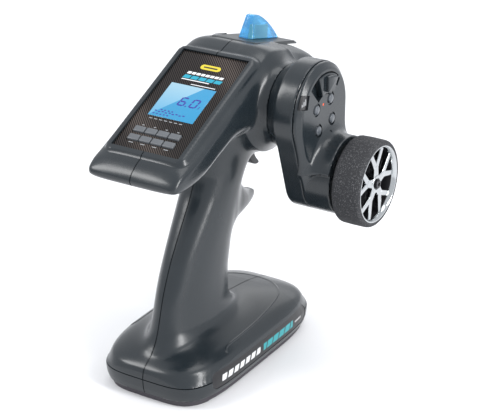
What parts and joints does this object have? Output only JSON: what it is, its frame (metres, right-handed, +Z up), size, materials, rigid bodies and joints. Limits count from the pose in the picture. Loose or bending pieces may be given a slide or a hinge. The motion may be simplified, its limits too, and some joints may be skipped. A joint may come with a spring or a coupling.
{
  "type": "pistol grip radio transmitter controller",
  "caption": "Pistol-grip radio transmitter for a model car, with a steering wheel on a side pod, a trigger, a tilted display with keys and a flat battery base.",
  "frame": {"origin": "centre of the underside of the base, on the plane of the rubber feet", "axes": "+Z up; +Y towards the front, away from the person who holds it; +X to the right, towards the steering wheel"},
  "size_m": [0.1438, 0.183, 0.2172],
  "materials": {
    "shell": "semi-gloss dark slate",
    "base_tray": "satin",
    "black_plastic": "satin black",
    "rubber": "matte",
    "keys": "satin grey",
    "lens": "clear",
    "display": "lit blue",
    "fin": "translucent blue",
    "board": "solder mask",
    "steel": "satin",
    "brass": "satin",
    "cell": "wrapped cell",
    "wire": "insulated",
    "chrome": "polished",
    "foam": "matte foam"
  },
  "bodies": {
    "root": {"left_shell": "shell", "right_shell": "shell", "base_plate": "base_tray", "battery_holder": "base_tray", "battery_cells": "cell", "battery_contacts": "steel", "rubber_feet": "rubber", "base_screws": "steel", "shell_screws": "steel", "charge_jack": "black_plastic", "side_labels": "black_plastic", "grip_pad": "rubber", "face_panel": "black_plastic", "display_lens": "lens", "display_module": "display", "keypad_mat": "rubber", "main_board": "board", "board_parts": "black_plastic", "buzzer": "black_plastic", "antenna_hatch": "shell", "antenna_fin": "fin", "antenna_element": "brass", "power_switch": "black_plastic", "trigger_pin": "steel", "trigger_bracket": "black_plastic", "trigger_spring": "steel", "trigger_sensor": "board", "pod_housing": "shell", "pod_cover": "shell", "pod_board": "board", "pod_switches": "black_plastic", "wheel_drum": "shell", "icon_window": "black_plastic", "status_lights": "display", "wheel_bushes": "brass", "steering_sensor": "board", "centring_spring": "steel", "battery_lead": "wire"},
    "wheel": {"wheel_rim": "chrome", "foam_tyre": "foam", "wheel_shaft": "steel", "wheel_bolt": "steel"},
    "trigger": {"trigger": "black_plastic"},
    "battery_door": {"battery_door": "base_tray"},
    "power_knob": {"power_knob": "black_plastic"},
    "rate_lever": {"rate_lever": "black_plastic"},
    "key_1_1": {"key_1_1": "keys"},
    "key_1_2": {"key_1_2": "keys"},
    "key_1_3": {"key_1_3": "keys"},
    "key_1_4": {"key_1_4": "keys"},
    "key_2_1": {"key_2_1": "keys"},
    "key_2_2": {"key_2_2": "keys"},
    "key_2_3": {"key_2_3": "keys"},
    "key_2_4": {"key_2_4": "keys"},
    "side_button_1": {"side_button_1": "keys"},
    "side_button_2": {"side_button_2": "keys"},
    "side_button_3": {"side_button_3": "keys"},
    "side_button_4": {"side_button_4": "keys"}
  },
  "joints": [
    {"name": "wheel_turn", "type": "hinge", "parent": "root", "child": "wheel", "pos_m": [0.09, 0.0375, 0.128], "axis": [1, 0, 0], "range_deg": [-35, 35], "stiffness_Nm_per_rad": 0.08},
    {"name": "trigger_pull", "type": "hinge", "parent": "root", "child": "trigger", "pos_m": [0, 0.05, 0.143], "axis": [-1, 0, 0], "range_deg": [-10, 16], "stiffness_Nm_per_rad": 0.06},
    {"name": "battery_door_slide", "type": "slide", "parent": "root", "child": "battery_door", "axis": [1, 0, 0], "range_m": [0, 0.015]},
    {"name": "power_slide", "type": "slide", "parent": "root", "child": "power_knob", "axis": [0, 1, 0], "range_m": [0, 0.004]},
    {"name": "rate_lever_turn", "type": "hinge", "parent": "root", "child": "rate_lever", "pos_m": [0.064, 0.031, 0.171], "axis": [1, 0, 0], "range_deg": [0, 18]},
    {"name": "key_1_1_press", "type": "slide", "parent": "root", "child": "key_1_1", "axis": [0, 0.4242, -0.9056], "range_m": [0, 0.0008], "stiffness_N_per_m": 300},
    {"name": "key_1_2_press", "type": "slide", "parent": "root", "child": "key_1_2", "axis": [0, 0.4242, -0.9056], "range_m": [0, 0.0008], "stiffness_N_per_m": 300},
    {"name": "key_1_3_press", "type": "slide", "parent": "root", "child": "key_1_3", "axis": [0, 0.4242, -0.9056], "range_m": [0, 0.0008], "stiffness_N_per_m": 300},
    {"name": "key_1_4_press", "type": "slide", "parent": "root", "child": "key_1_4", "axis": [0, 0.4242, -0.9056], "range_m": [0, 0.0008], "stiffness_N_per_m": 300},
    {"name": "key_2_1_press", "type": "slide", "parent": "root", "child": "key_2_1", "axis": [0, 0.4242, -0.9056], "range_m": [0, 0.0008], "stiffness_N_per_m": 300},
    {"name": "key_2_2_press", "type": "slide", "parent": "root", "child": "key_2_2", "axis": [0, 0.4242, -0.9056], "range_m": [0, 0.0008], "stiffness_N_per_m": 300},
    {"name": "key_2_3_press", "type": "slide", "parent": "root", "child": "key_2_3", "axis": [0, 0.4242, -0.9056], "range_m": [0, 0.0008], "stiffness_N_per_m": 300},
    {"name": "key_2_4_press", "type": "slide", "parent": "root", "child": "key_2_4", "axis": [0, 0.4242, -0.9056], "range_m": [0, 0.0008], "stiffness_N_per_m": 300},
    {"name": "side_button_1_press", "type": "slide", "parent": "root", "child": "side_button_1", "axis": [-1, 0, 0], "range_m": [0, 0.0008], "stiffness_N_per_m": 300},
    {"name": "side_button_2_press", "type": "slide", "parent": "root", "child": "side_button_2", "axis": [-1, 0, 0], "range_m": [0, 0.0008], "stiffness_N_per_m": 300},
    {"name": "side_button_3_press", "type": "slide", "parent": "root", "child": "side_button_3", "axis": [-1, 0, 0], "range_m": [0, 0.0008], "stiffness_N_per_m": 300},
    {"name": "side_button_4_press", "type": "slide", "parent": "root", "child": "side_button_4", "axis": [-1, 0, 0], "range_m": [0, 0.0008], "stiffness_N_per_m": 300}
  ]
}
